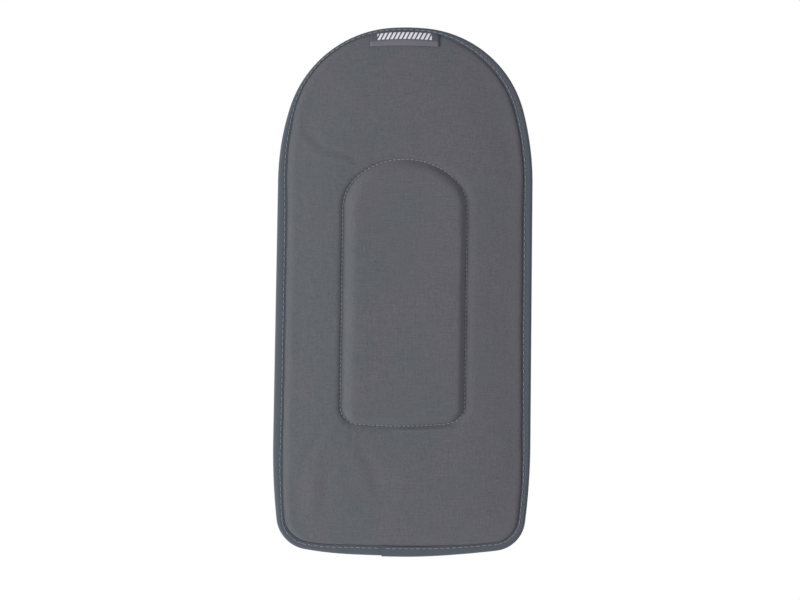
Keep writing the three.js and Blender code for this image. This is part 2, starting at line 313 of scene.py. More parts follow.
# Faint creases in the cloth: (x, z) of both ends, half width and depth
CREASES = [
    (-84, 129, -62, 109, 3.4, 0.5), (-66, 111, -36, 104, 2.6, 0.9),
    (-40, -104, -42, -124, 1.3, 0.16),
    (-34, -108, -35, -131, 1.5, 0.14), (-28, -112, -27, -126, 1.3, 0.1),
    (51, 84, 67, 115, 2.8, 0.26), (-86, 96, -80, 60, 1.4, 0.12),
    (40, -112, 48, -128, 1.8, 0.1), (-60, -103, -83, -143, 4, 0.4),
    (-57, -126, -63, -188, 6, 0.6), (-38, -113, -12, -167, 5, 0.5), (6, 150, 12, 112, 5, 0.2),
]


def crease(x, z, x0, z0, x1, z1, half, depth):
    """A furrow that fades out at both of its ends."""
    length = math.hypot(x1 - x0, z1 - z0)
    ux, uz = (x1 - x0) / length, (z1 - z0) / length
    far = ((x - x0) * ux + (z - z0) * uz) / length
    off = ((x - x0) * uz - (z - z0) * ux + 1.2 * np.sin(3 * far)) / half
    fade = np.exp(-((far - 0.5) / 0.38) ** 4)
    return depth * fade * (np.exp(-off ** 2) - 0.55 * np.exp(-((off - 1.7) / 1.1) ** 2))


def front_depth(points):
    """How far back the front cover's face lies, at points in the XZ plane."""
    x, z = points[:, 0], points[:, 1]
    inset, s = panel.measure(points)
    inside, t = pad.measure(points)
    past = np.maximum(inset - front_leg(s), 0)
    kerb = by_side(panel, s, 0.42, 0.45, 0.26, 0.34)
    inland = smooth(past / RIM_REACH)
    kerb += (0.38 - kerb) * inland
    kerb_reach = by_side(panel, s, 3.2, 0.8, 1.6, 1.1) * (1 + 0.1 * shoulder_wave(s))
    ramp = 1 - np.exp(-(past / kerb_reach) ** by_side(panel, s, 1.7, 1, 1, 1))
    side, above, below = panel.clearances(points)
    dome = bowed(side - 8, 46) * bowed(above - 3, 74) * bowed(below - 6, 66)
    rise = (kerb + (1 - kerb) * dome) * ramp
    rise += dimples(s, past, 0.03)
    face = cover_front - PUFF
    tight = by_side(panel, s, 0.95, 0.15, 0.5, 0.1) * smooth(inset - front_leg(s) + 0.8)
    tight = tight * (1 - inland)
    panel_y = flange_front - tight + (face - flange_front + tight) * rise

    east = smooth((x + 20) / 60)
    outside = np.maximum(-inside, 0)
    dip = by_side(pad, t, 2.0, 1.7, 1.8, 1.9 + 0.4 * east) * (1 + 0.06 * pad_wave(t))
    width = by_side(pad, t, 4.8, 8.5, 4.6, 8.5 + 2 * east)
    groove = dip * np.clip(1 - outside / width, 0, 1) ** by_side(pad, t, 2.3, 2.0, 2.3, 2.8)

    within = np.maximum(inside, 0)
    ledge = by_side(pad, t, 2.6, 0.6, 0.6, 0.4)
    bevel_width = by_side(pad, t, 10, 6.3, 12, 8) * (1 + 0.08 * pad_wave(t + 90))
    blur = 0.5
    start = blur * (np.logaddexp(0, (within - ledge) / blur) - np.log1p(np.exp(-ledge / blur)))
    bevel = 1 - np.clip(1 - start / bevel_width, 0, 1) ** by_side(pad, t, 2.1, 2.5, 3.3, 3.1)
    pad_y = face + dip + (pad_front - PAD_PUFF - face - dip) * bevel

    sag = smooth((x + 12) / 22) * smooth((46 - x) / 10) * smooth((-95 - z) / 6)
    lip = -2.0 * sag * np.exp(-((outside - 3.3) / 1.3) ** 2)
    nip = 0.15 * np.exp(-(inside / 0.8) ** 2)
    tuck = -0.25 * pucker(t, pad_pitch) * np.exp(-(np.abs(inside + 1.0) / 1.2) ** 2)
    rolling = (0.3 * broad(x, z) + 0.07 * middling(x, z)) * inland
    lines = sum(crease(x, z, *one) for one in CREASES) * inland
    return np.where(inside > 0, pad_y, panel_y + groove) + lip + nip + tuck + rolling + lines


back_broad = hills(50, 140)


def back_depth(points):
    """How far back the back cover's face lies, at points in the XZ plane."""
    x, z = points[:, 0], points[:, 1]
    inset, s = panel.measure(points)
    past = np.maximum(inset - BACK_LEG, 0)
    rim = tape_back - TAPE_THICK - GAP
    rise = 1 - np.exp(-past / 4.2)
    rise += dimples(s, past, 0.02)
    return rim + (cover_back - rim) * rise + 0.16 * back_broad(x, z) * smooth(past / RIM_REACH)


def face_normals(points, faces):
    """Smooth vertex normals from quads."""
    a, b, c, d = (points[faces[:, k]] for k in range(4))
    flat = np.cross(c - a, d - b)
    normal = np.zeros_like(points)
    for k in range(4):
        np.add.at(normal, faces[:, k], flat)
    return normal / np.maximum(np.linalg.norm(normal, axis=1), 1e-9)[:, None]


def settled(points):
    """How far up the cloth has drifted: its bottom corner at the left, and the pad's last seam."""
    x, y, z = points.T
    corner = -1.0 * np.exp(-((x + 58) / 30) ** 2) * smooth((-185 - z) / 20)
    seam = 1.5 * np.exp(-((x - 44) / 15) ** 2) - 0.9 * np.exp(-((x + 6) / 24) ** 2)
    return corner + seam * np.exp(-((z + 106) / 13) ** 2) * smooth(-y / 3)


def make(name, points, faces, material, weave=None):
    """A shown piece from its vertices in mm. weave is a place in the cloth for each vertex."""
    points = np.array(points)
    points[:, 0] += LEAN * smooth((points[:, 2] - 110) / 90)
    points[:, 2] += settled(points)
    mesh = bpy.data.meshes.new(name)
    mesh.from_pydata((points * MM).tolist(), [], faces)
    grown = bmesh.new()
    grown.from_mesh(mesh)
    bmesh.ops.recalc_face_normals(grown, faces=grown.faces)
    grown.to_mesh(mesh)
    grown.free()
    mesh.polygons.foreach_set("use_smooth", [True] * len(mesh.polygons))
    if weave is not None:
        place = mesh.attributes.new("weave", "FLOAT_VECTOR", "POINT")
        padded = np.zeros((len(points), 3), np.float32)
        padded[:, :2] = weave
        place.data.foreach_set("vector", padded.ravel())
    mesh.materials.append(material)
    piece = bpy.data.objects.new(name, mesh)
    bpy.context.collection.objects.link(piece)
    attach(piece, "root")
    return piece


def quads(first, second):
    """Faces between two closed rings of vertex numbers."""
    return np.stack([first, np.roll(first, -1), np.roll(second, -1), second], 1)


def shell(face, faces, rim, thickness, toward=0):
    """A closed skin of a thickness behind a face's points, which looks towards -Y or +Y. rim is
    its outer ring of vertices."""
    normal = face_normals(face, faces)
    if normal[:, 1].mean() * toward < 0:
        normal = -normal
    count = len(face)
    points = np.concatenate([face, face - normal * thickness])
    sides = quads(rim, rim + count)
    return points, np.concatenate([faces, faces[:, ::-1] + count, sides])


def covered(rings, spine):
    """A disc of vertices: rings of as many points each, the outermost first, closing on a spine.
    Returns its points in the plane, its quads and its outer ring."""
    count = len(rings[0])
    flat = np.concatenate([*rings, spine])
    numbers = [np.arange(count) + k * count for k in range(len(rings))]
    fold = np.minimum(np.arange(count), count - np.arange(count)) + len(rings) * count
    numbers.append(fold)
    faces = np.concatenate([quads(a, b) for a, b in zip(numbers, numbers[1:])])
    return flat, faces, numbers[0]


def blended(outer, inner, steps):
    """Rings between an outer and an inner one, both left out."""
    return [outer + (inner - outer) * k / steps for k in range(1, steps)]


def middle_line(stations, top, tall):
    """A straight line down the middle that rings close on, once and then there and back."""
    down = np.linspace(0, 1, stations // 2 + 1)
    spine = np.stack([np.zeros_like(down), top - tall * down], -1)
    return spine, np.concatenate([spine, spine[-2:0:-1]])


def front_rings(counts):
    """The front cover's rings, from the rim over the panel to the centre pad's spine."""
    s = panel.stations(counts)
    t = pad.stations(counts)
    leg = front_leg(s)
    under = [panel.ring(s, 1.2 + (leg - 1.2) * k / 4) for k in range(4)]
    past = [0, 0.35, 0.7, 1.1, 1.6, 2.2, 2.9, 3.7, 4.6, 5.7, 7, 8.5, 10.2, 12]
    rim = [panel.ring(s, leg + one) for one in past]
    near = [-9, -7.6, -6.3, -5.1, -4.1, -3.3, -2.6, -2, -1.5, -1.1, -0.7, -0.35, 0, 0.35, 0.7,
            1.1, 1.5, 2, 2.6, 3.3, 4.1, 5.1, 6.3, 7.6, 9, 10.6]
    groove = [pad.ring(t, one) for one in near]
    spine, whole = middle_line(len(s), 62, 136)
    rings = [*under, *rim, *blended(rim[-1], groove[0], 26), *groove,
             *blended(groove[-1], whole, 15)]
    return covered(rings, spine)


def back_rings(counts):
    """The back cover's rings, from the rim to its spine."""
    s = panel.stations(counts)
    under = [panel.ring(s, inset) for inset in (1.2, 4, 7, 9)]
    past = [0.3, 0.8, 1.4, 2.1, 3, 4, 5.2, 6.6, 8.2, 10, 12, 14.5]
    rim = [panel.ring(s, BACK_LEG + one) for one in past]
    spine, whole = middle_line(len(s), 118, 246)
    return covered([*under, *rim, *blended(rim[-1], whole, 26)], spine)


def raised(flat, depth):
    """Points in space from points in the XZ plane and their depths."""
    return np.stack([flat[:, 0], depth, flat[:, 1]], -1)


# Materials --------------------------------------------------------------------------------------

class Shader:
    """A Principled material, with short ways to add the nodes of a procedural cloth."""

    def __init__(self, name, roughness=0.9, sheen=0.0, specular=0.25):
        self.material = bpy.data.materials.new(name)
        self.material.use_nodes = True
        self.tree = self.material.node_tree
        self.surface = self.tree.nodes["Principled BSDF"]
        self.surface.inputs["Roughness"].default_value = roughness
        self.surface.inputs["Sheen Weight"].default_value = sheen
        self.surface.inputs["Sheen Roughness"].default_value = 0.5
        self.surface.inputs["Specular IOR Level"].default_value = specular

    def node(self, kind, **settings):
        made = self.tree.nodes.new(kind)
        for name, value in settings.items():
            setattr(made, name, value)
        return made

    def link(self, source, target):
        self.tree.links.new(source, target)

    def place(self, scale):
        """Places in the cloth, one unit to the millimetre times the scale."""
        source = self.node("ShaderNodeTexCoord").outputs["Object"]
        mapping = self.node("ShaderNodeMapping")
        mapping.inputs["Scale"].default_value = [one / MM for one in scale]
        self.link(source, mapping.inputs["Vector"])
        return mapping.outputs["Vector"]

    def woven_place(self, scale):
        """The same, from the weave attribute of a piece that was cut and folded."""
        source = self.node("ShaderNodeAttribute", attribute_name="weave").outputs["Vector"]
        mapping = self.node("ShaderNodeMapping")
        mapping.inputs["Scale"].default_value = scale
        self.link(source, mapping.inputs["Vector"])
        return mapping.outputs["Vector"]

    def noise(self, place, detail=3.0, roughness=0.6):
        made = self.node("ShaderNodeTexNoise")
        made.inputs["Scale"].default_value = 1
        made.inputs["Detail"].default_value = detail
        made.inputs["Roughness"].default_value = roughness
        self.link(place, made.inputs["Vector"])
        return made.outputs["Fac"]

    def wave(self, place, direction):
        """A sine of one cycle per unit."""
        made = self.node("ShaderNodeTexWave", wave_type="BANDS", wave_profile="SIN",
                         bands_direction=direction)
        made.inputs["Scale"].default_value = 2 * math.pi / WAVE_RADIANS
        self.link(place, made.inputs["Vector"])
        return made.outputs["Fac"]

    def maths(self, operation, first, second=None, third=None):
        made = self.node("ShaderNodeMath", operation=operation)
        for socket, value in zip(made.inputs, (first, second, third)):
            if isinstance(value, (int, float)):
                socket.default_value = value
            elif value is not None:
                self.link(value, socket)
        return made.outputs[0]

    def remap(self, value, low, high, to_low, to_high):
        made = self.node("ShaderNodeMapRange")
        for name, one in (("From Min", low), ("From Max", high),
                          ("To Min", to_low), ("To Max", to_high)):
            made.inputs[name].default_value = one
        self.link(value, made.inputs["Value"])
        return made.outputs["Result"]

    def tint(self, factor, first, second, blend="MIX"):
        """A blend of two colours."""
        made = self.node("ShaderNodeMix", data_type="RGBA", blend_type=blend)
        colours = [one for one in made.inputs if one.type == "RGBA"]
        for socket, value in zip([made.inputs["Factor"], *colours], (factor, first, second)):
            if isinstance(value, tuple):
                socket.default_value = (*value, 1)
            elif isinstance(value, int):
                socket.default_value = value
            else:
                self.link(value, socket)
        return next(one for one in made.outputs if one.type == "RGBA")

    def shade(self, colour, factor):
        """A colour made lighter or darker by a factor."""
        return self.tint(1, colour, factor, "MULTIPLY")

    def finish(self, colour, height=None, strength=0.5, distance=0.1):
        self.link(colour, self.surface.inputs["Base Color"])
        if height is not None:
            bump = self.node("ShaderNodeBump")
            bump.inputs["Strength"].default_value = strength
            bump.inputs["Distance"].default_value = distance * MM
            self.link(height, bump.inputs["Height"])
            self.link(bump.outputs["Normal"], self.surface.inputs["Normal"])
        return self.material


def plain_weave(name, first, second, pitch=0.85, sheen=0.25, depth=0.12):
    """A plain-woven cloth of slightly uneven yarns, between two colours."""
    shader = Shader(name, roughness=0.92, sheen=sheen)
    threads = shader.place((1 / pitch, 1 / pitch, 1 / pitch))
    warp = shader.wave(threads, "X")
    weft = shader.wave(threads, "Z")
    over = shader.maths("MULTIPLY", shader.maths("SUBTRACT", warp, 0.5),
                        shader.maths("SUBTRACT", weft, 0.5))
    slub_up = shader.noise(shader.place((1.5, 1.5, 0.09)), 2)
    slub_across = shader.noise(shader.place((0.09, 1.5, 1.5)), 2)
    mottle = shader.noise(shader.place((0.9, 0.9, 0.9)), 3, 0.7)
    fibre = shader.noise(shader.place((3.4, 3.4, 3.4)), 4, 0.7)
    cloud = shader.noise(shader.place((0.022, 0.022, 0.022)), 2, 0.5)
    slubs = shader.maths("ADD", slub_up, slub_across)
    grain = shader.maths("MULTIPLY_ADD", over, 0.5, shader.maths(
        "MULTIPLY_ADD", fibre, 0.4, shader.maths(
            "MULTIPLY_ADD", mottle, 1.1, shader.maths("MULTIPLY", slubs, 0.5))))
    split = shader.node("ShaderNodeSeparateXYZ")
    shader.link(shader.place((1, 1, 1)), split.inputs[0])
    patch = shader.maths("MULTIPLY_ADD", split.outputs["X"], 0.0016, cloud)
    colour = shader.tint(shader.remap(patch, 0.4, 0.6, 0, 1), first, second)
    colour = shader.shade(colour, shader.remap(grain, 0.75, 1.75, 0.68, 1.32))
    height = shader.maths("MULTIPLY_ADD", over, 1.6, shader.maths("MULTIPLY", fibre, 0.45))
    return shader.finish(colour, height, 0.7, depth)


def herringbone(name, first, second, pitch=1.3):
    """A woven tape: ribs that slant one way and then the other across its width."""
    shader = Shader(name, roughness=0.88, sheen=0.2)
    split = shader.node("ShaderNodeSeparateXYZ")
    shader.link(shader.woven_place((1, 1, 1)), split.inputs[0])
    across = shader.maths("PINGPONG", split.outputs["Y"], 2.1)
    slant = shader.maths("ADD", split.outputs["X"], across)
    rib = shader.maths("SINE", shader.maths("MULTIPLY", slant, 2 * math.pi / pitch))
    fibre = shader.noise(shader.woven_place((3.2, 3.2, 3.2)), 4, 0.7)
    cloud = shader.noise(shader.woven_place((0.03, 0.1, 0.1)), 2)
    colour = shader.tint(shader.remap(cloud, 0.35, 0.65, 0, 1), first, second)
    grain = shader.maths("MULTIPLY_ADD", rib, 0.22, fibre)
    colour = shader.shade(colour, shader.remap(grain, 0.2, 0.9, 0.72, 1.24))
    height = shader.maths("MULTIPLY_ADD", rib, 0.5, fibre)
    return shader.finish(colour, height, 0.6, 0.12)


def yarn(name, first, second):
    """Sewing thread."""
    shader = Shader(name, roughness=0.6, sheen=0.15, specular=0.35)
    fibre = shader.noise(shader.place((2.5, 2.5, 2.5)), 3)
    return shader.finish(shader.tint(shader.remap(fibre, 0.3, 0.7, 0, 1), first, second),
                         fibre, 0.3, 0.05)


def ribbon(name, ground, fold, mark):
    """The label's satin ribbon, with a woven bar of slanting pale strokes near its top."""
    shader = Shader(name, roughness=0.7, sheen=0.1, specular=0.35)
    split = shader.node("ShaderNodeSeparateXYZ")
    shader.link(shader.woven_place((1, 1, 1)), split.inputs[0])
    x, down = split.outputs["X"], split.outputs["Y"]
    rib = shader.maths("SINE", shader.maths("MULTIPLY", down, 2 * math.pi / 0.45))
    fibre = shader.noise(shader.woven_place((0.7, 4, 4)), 3)
    colour = shader.tint(shader.remap(down, 9.6, 10.3, 0, 1), ground, fold)
    slant = shader.maths("MULTIPLY_ADD", down, 0.5, x)
    stroke = shader.maths("FRACT", shader.maths("DIVIDE", slant, 3.4))
    strokes = shader.maths("LESS_THAN", stroke, 0.62)
    wide = shader.maths("LESS_THAN", shader.maths("ABSOLUTE", x), 21.5)
    tall = shader.maths("LESS_THAN", shader.maths(
        "ABSOLUTE", shader.maths("SUBTRACT", down, 6.3)), 2.75)
    bar = shader.maths("MULTIPLY", shader.maths("MULTIPLY", wide, tall), strokes)
    colour = shader.tint(bar, colour, mark)
    grain = shader.maths("MULTIPLY_ADD", rib, 0.12, fibre)
    colour = shader.shade(colour, shader.remap(grain, 0.25, 0.8, 0.88, 1.1))
    height = shader.maths("MULTIPLY_ADD", bar, 0.8, shader.maths("MULTIPLY", rib, 0.3))
    return shader.finish(colour, height, 0.5, 0.08)


def foam(name, first, second, cell):
    """Cut foam with open cells, each cell's hollow middle painted darker as painted shade."""
    shader = Shader(name, roughness=0.95)
    cells = shader.node("ShaderNodeTexVoronoi")
    cells.inputs["Scale"].default_value = 1
    shader.link(shader.place((1 / cell,) * 3), cells.inputs["Vector"])
    # Painted shade: the colour darkens towards each cell's middle, where the bump sinks into its
    # hollow.
    wall = shader.remap(cells.outputs["Distance"], 0, 0.7, 0, 1)
    return shader.finish(shader.tint(wall, second, first), wall, 0.6, 0.3)


def moulded(name, first, second, roughness=0.5):
    """A dull plastic with a faint grain."""
    shader = Shader(name, roughness=roughness, specular=0.4)
    grain = shader.noise(shader.place((0.5, 0.5, 0.5)), 4)
    return shader.finish(shader.tint(shader.remap(grain, 0.3, 0.7, 0, 1), first, second),
                         grain, 0.2, 0.05)


cover_cloth = plain_weave("cover_cloth", (0.1, 0.107, 0.12), (0.111, 0.106, 0.125))
back_cloth = plain_weave("back_cloth", (0.096, 0.1, 0.108), (0.102, 0.1, 0.11), pitch=1.1)
inner_cloth = plain_weave("inner_cloth", (0.05, 0.05, 0.055), (0.06, 0.06, 0.064), pitch=1.2)
binding_tape = herringbone("binding_tape", (0.083, 0.098, 0.12), (0.09, 0.099, 0.123))
seam_thread = yarn("seam_thread", (0.22, 0.245, 0.28), (0.31, 0.335, 0.37))
pad_thread = yarn("pad_thread", (0.27, 0.285, 0.31), (0.36, 0.375, 0.4))
hook_thread = yarn("hook_thread", (0.012, 0.012, 0.014), (0.02, 0.02, 0.022))
label_ribbon = ribbon("label_ribbon", (0.086, 0.085, 0.107), (0.145, 0.142, 0.172),
                      (0.74, 0.74, 0.78))
main_foam = foam("foam", (0.05, 0.055, 0.062), (0.02, 0.022, 0.026), 1.6)
stiffener = moulded("stiffener", (0.62, 0.62, 0.58), (0.56, 0.56, 0.52))
hook_base = herringbone("hook_base", (0.012, 0.012, 0.014), (0.018, 0.018, 0.02), 0.9)
hook_plastic = moulded("hook_plastic", (0.014, 0.014, 0.016), (0.022, 0.022, 0.025), 0.35)


# The covers -------------------------------------------------------------------------------------

flat, faces, rim = front_rings(ROUND_STEPS)
front_points, front_faces = shell(
    raised(flat, front_depth(flat)), faces, rim, CLOTH_THICK, -1)
front_cover = make("front_cloth", front_points, front_faces, cover_cloth)
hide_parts("front_cover")

flat, faces, rim = back_rings(ROUND_STEPS)
back_points, back_faces = shell(
    raised(flat, back_depth(flat)), faces, rim, CLOTH_THICK, 1)
back_cover = make("back_cloth", back_points, back_faces, back_cloth)
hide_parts("back_cover")


# The binding ------------------------------------------------------------------------------------

overlap_to = panel.half + OVERLAP_END
overlap_from = overlap_to - OVERLAP
label_x = -3
label_half = 27


def over_label(s):
    """1 where the tape covers the label's top, and 0 elsewhere."""
    x = np.where(s > panel.half, s - panel.turn, s)
    return smooth((label_half + 2 - np.abs(x - label_x)) / 3)


def tape_section(s, lift, thick):
    """The folded tape's closed section at each distance: insets, depths and places across it."""
    leg = front_leg(s)[:, None]
    seam = seam_inset(s)[:, None]
    lift = lift[:, None]
    thick = np.broadcast_to(thick, s.shape)[:, None]
    nip = (0.34 * (0.45 + 0.55 * (1 - pucker(s, seam_pitch))))[:, None]
    raise_edge = (LABEL_LIFT * over_label(np.mod(s, panel.turn)))[:, None]
    edge = thick / 2
    bend = 1.9
    cap = np.radians([90, 50, 10, -30, -65, -90])
    round_cap = np.stack([np.cos(cap), -np.sin(cap)])
    turned = np.radians([-90, -68, -45, -22, 0, 22, 45, 68, 90])
    front = tape_front - lift
    back = tape_back + lift
    middle = (front + back) / 2
    half = (back - front) / 2

    def faced(inset, width):
        dent = nip * np.exp(-((inset - seam) / 0.85) ** 2)
        crown = 0.12 * np.sin(np.clip(inset / width, 0, 1) * math.pi)
        return front + dent - crown - raise_edge * smooth(inset / 3)

    share = np.linspace(0, 1, 10)[None, 1:-1]
    outer_in = faced(leg - edge, leg)
    end_u = leg - edge + edge * round_cap[0][None, ::-1]
    end_y = outer_in + edge - edge * round_cap[1][None, ::-1]
    face_u = leg - edge + (bend - leg + edge) * share
    face_y = faced(face_u, leg)
    fold_u = bend - lift * 0.6 - bend * np.cos(turned)[None, :]
    fold_y = middle + half * np.sin(turned)[None, :]
    back_end = BACK_LEG - 0.4
    back_line = np.linspace(bend, back_end, 7)[None, :]
    under = 0.3 * np.exp(-((back_line - seam) / 1.1) ** 2)
    back_y = back - under * (0.3 + 0.7 * (1 - pucker(s, seam_pitch)))[:, None]
    cap_u = back_end + edge * round_cap[0][None, :]
    cap_y = back - edge + edge * round_cap[1][None, :]
    inner_back_u = np.array([[6.5, 4.2, 2.2]])
    inner_back_y = np.broadcast_to(back - thick, (len(s), 3))
    fold_in_u = (thick - lift * 0.6) + np.array([[0.5, 0.0, 0.0, 0.5]])
    fold_in_y = np.concatenate([
        back - thick - 0.3, middle + half * 0.35, middle - half * 0.35, front + thick + 0.3], 1)
    inner_u = bend + 0.3 + (leg - edge - bend - 0.3) * np.linspace(0, 1, 5)[None, :-1]
    inner_y = faced(inner_u, leg) + thick
    u, y = (
        np.concatenate([np.broadcast_to(one, (len(s), one.shape[1])) for one in parts], 1)
        for parts in (
            (end_u, face_u, fold_u, back_line[:, 1:], cap_u, inner_back_u, fold_in_u, inner_u),
            (end_y, face_y, fold_y, back_y[:, 1:], cap_y, inner_back_y, fold_in_y, inner_y)))
    step = np.hypot(np.diff(u, axis=1), np.diff(y, axis=1))
    across = np.concatenate([np.zeros((len(s), 1)), np.cumsum(step, 1)], 1)
    return u, y, across


def sweep(s, u, y, across):
    """A closed tube of sections along the panel's outline, capped at both ends."""
    point, normal = panel.at(s)
    count = u.shape[1]
    x = point[:, 0:1] + normal[:, 0:1] * u
    z = point[:, 1:2] + normal[:, 1:2] * u
    points = np.stack([x, y, z], -1).reshape(-1, 3)
    rings = np.arange(len(s) * count).reshape(len(s), count)
    faces = [quads(a, b) for a, b in zip(rings, rings[1:])]
    faces = np.concatenate(faces).tolist()
    faces += [rings[0][::-1].tolist(), rings[-1].tolist()]
    weave = np.stack([np.broadcast_to(s[:, None], u.shape), across], -1).reshape(-1, 2)
    return points, faces, weave


tape_s = np.arange(overlap_from, overlap_to + panel.turn, 1.45)
tape_s = np.append(tape_s, overlap_to + panel.turn)
climb = smooth((tape_s - (overlap_from + panel.turn - CLIMB)) / CLIMB) ** 1.5
hem = smooth((tape_s - (overlap_to + panel.turn - 7)) / 1.5)
u, y, across = tape_section(tape_s, TAPE_LIFT * climb, TAPE_THICK + 0.35 * hem)
tape_points, tape_faces, tape_weave = sweep(tape_s, u, y, across)
binding = make("binding_tape", tape_points, tape_faces, binding_tape,
               weave=tape_weave)
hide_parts("edge_binding")


# The stitches -----------------------------------------------------------------------------------

def stitches(name, centre, tangent, outward, length, material, radius=0.17, dive=0.55):
    """Plied dashes of thread, one for each stitch, that dive into the cloth at both ends."""
    count = len(centre)
    rings, sides = 13, 6
    along_it = np.linspace(-1, 1, rings)
    length = np.broadcast_to(length, (count,)) * rng.uniform(0.93, 1.05, count)
    sideways = np.cross(tangent, outward)
    lean = rng.normal(0, 0.05, count)
    off = along_it[None, :, None] * (length / 2)[:, None, None]
    height = (1 - np.abs(along_it) ** 3.5)[None, :, None] * dive - dive * 0.55
    spine = (centre[:, None] + tangent[:, None] * off + outward[:, None] * height
             + sideways[:, None] * off * lean[:, None, None])
    angle = np.linspace(0, 2 * math.pi, sides, endpoint=False)
    points, faces = [], []
    for ply in range(2):
        turn = (along_it[None, :] * (length / 2)[:, None] * 2 * math.pi / 1.7
                + rng.uniform(0, math.pi, count)[:, None] + ply * math.pi)
        strand = spine + radius * 0.75 * (
            np.cos(turn)[..., None] * sideways[:, None] + np.sin(turn)[..., None]
            * outward[:, None])
        thin = radius * (1 - 0.35 * np.abs(along_it) ** 6)
        tube = strand[:, :, None] + thin[None, :, None, None] * (
            np.cos(angle)[None, None, :, None] * sideways[:, None, None]
            + np.sin(angle)[None, None, :, None] * outward[:, None, None])
        numbers = (np.arange(count * rings * sides).reshape(count, rings, sides)
                   + len(points) * count * rings * sides)
        points.append(tube.reshape(-1, 3))
        a, b = numbers[:, :-1], numbers[:, 1:]
        walls = np.stack([a, np.roll(a, -1, 2), np.roll(b, -1, 2), b], -1)
        faces += walls.reshape(-1, 4).tolist()
        faces += numbers[:, 0, ::-1].tolist() + numbers[:, -1].tolist()
    return make(name, np.concatenate(points), faces, material)


def on_outline(shape, s, inset, depth):
    """Places and directions along a line at an inset and depth."""
    step = 0.4
    here, before, after = (
        raised(shape.ring(one, inset(one)), depth(one)) for one in (s, s - step, s + step))
    tangent = after - before
    tangent /= np.linalg.norm(tangent, axis=1)[:, None]
    return here, tangent


def flat_normals(tangent, sign):
    """Normals across a seam, as near to the Y axis as they can be."""
    out = np.array([0, sign, 0]) - tangent * (tangent[:, 1] * sign)[:, None]
    return out / np.linalg.norm(out, axis=1)[:, None]


def seam_lift(s):
    """How far the overlapping end of the tape lifts its stitches."""
    far = np.mod(s, panel.turn)
    rise = smooth((far - (overlap_from - CLIMB)) / CLIMB) ** 1.5
    return TAPE_LIFT * rise * (far < overlap_to - 0.5)


seam_s = (np.arange(round(panel.turn / seam_pitch)) + 0.5) * seam_pitch
seam_s = seam_s[np.abs(seam_s - overlap_to) > 2.2]
here, tangent = on_outline(
    panel, seam_s, seam_inset,
    lambda s: tape_front - seam_lift(s) - 0.12 - LABEL_LIFT * over_label(np.mod(s, panel.turn)))
seam_needle = stitches("binding_needle_stitches", here, tangent, flat_normals(tangent, -1),
                       seam_pitch * 0.74, seam_thread)
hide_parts("binding_needle_thread")
here, tangent = on_outline(
    panel, seam_s + seam_pitch / 2, seam_inset, lambda s: tape_back + seam_lift(s) - 0.05)
seam_bobbin = stitches("binding_bobbin_stitches", here, tangent, flat_normals(tangent, 1),
                       seam_pitch * 0.74, seam_thread)
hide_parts("binding_bobbin_thread")

pad_s = (np.arange(round(pad.turn / pad_pitch)) + 0.5) * pad_pitch
here, tangent = on_outline(
    pad, pad_s, lambda s: 0 * s, lambda s: front_depth(pad.ring(s, 0 * s)) - 0.24)
pad_needle = stitches("centre_pad_stitches", here, tangent, flat_normals(tangent, -1),
                      pad_pitch * 0.72, pad_thread)
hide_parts("centre_pad_needle_thread")


# The label --------------------------------------------------------------------------------------

def label():
    """A ribbon folded at its bottom edge, its two ends caught under the binding."""
    columns = np.linspace(-label_half, label_half, 37)
    tall = 13.6
    fold = 0.32
    steps = 22
    down = np.concatenate([np.linspace(0, tall, steps), tall + fold * np.array([0.7, 1.0, 0.7]),
                           np.linspace(tall, 0, steps)])
    ply = np.concatenate([np.ones(steps), [0.75, 0, -0.75], -np.ones(steps)])
    path = np.concatenate([[0], np.cumsum(np.hypot(np.diff(down), fold * np.diff(ply)))])
    rim_z = panel.at(columns + label_x)[0][:, 1] - 0.9
    flat_line = rim_z.max() + 0.35 * (rim_z - rim_z.max())
    x = np.repeat(columns[:, None], len(down), 1) + label_x
    top, bottom = rim_z[:, None], (flat_line - tall)[:, None]
    share = (down / tall)[None, :]
    z = top + (bottom - top) * share
    flat = np.stack([x.ravel(), z.ravel()], -1)
    under = front_depth(flat).reshape(x.shape)
    tucked = smooth((down - 1.5) / 2.5)[None, :]
    stand = 0.42 + 0.25 * smooth((down - 6) / 8)[None, :] + 0.1 * np.sin(x / 9)
    y = under - 0.2 - (stand - 0.2) * tucked - fold * ply[None, :]
    y = np.minimum(y, flange_front - 0.15 - fold * ply[None, :])
    points = np.stack([x, y, z], -1).reshape(-1, 3)
    rows, cols = x.shape
    grid = np.arange(rows * cols).reshape(rows, cols)
    faces = np.stack([grid[:-1, :-1], grid[1:, :-1], grid[1:, 1:], grid[:-1, 1:]], -1)
    faces = faces.reshape(-1, 4)
    rim = np.concatenate([grid[0, :-1], grid[:-1, -1], grid[-1, :0:-1], grid[:0:-1, 0]])
    points, faces = shell(points, faces, rim, 0.28)
    place = np.stack([x - label_x, np.repeat(path[None, :], rows, 0)], -1).reshape(-1, 2)
    return points, faces, np.concatenate([place, place])


label_points, label_faces, label_weave = label()
woven_label = make("label_ribbon", label_points, label_faces, label_ribbon,
                   weave=label_weave)
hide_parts("woven_label")


# The hook tape ----------------------------------------------------------------------------------

def rounded(half_x, half_z, corner, steps=5):
    """The points round a rectangle with rounded corners."""
    turns = [math.radians(90 * k + 90 * j / steps) for k in range(4) for j in range(steps + 1)]
    centres = [(1, 1), (-1, 1), (-1, -1), (1, -1)]
    return np.array([
        (centres[k // (steps + 1)][0] * (half_x - corner) + corner * math.cos(turn),
         centres[k // (steps + 1)][1] * (half_z - corner) + corner * math.sin(turn))
        for k, turn in enumerate(turns)])


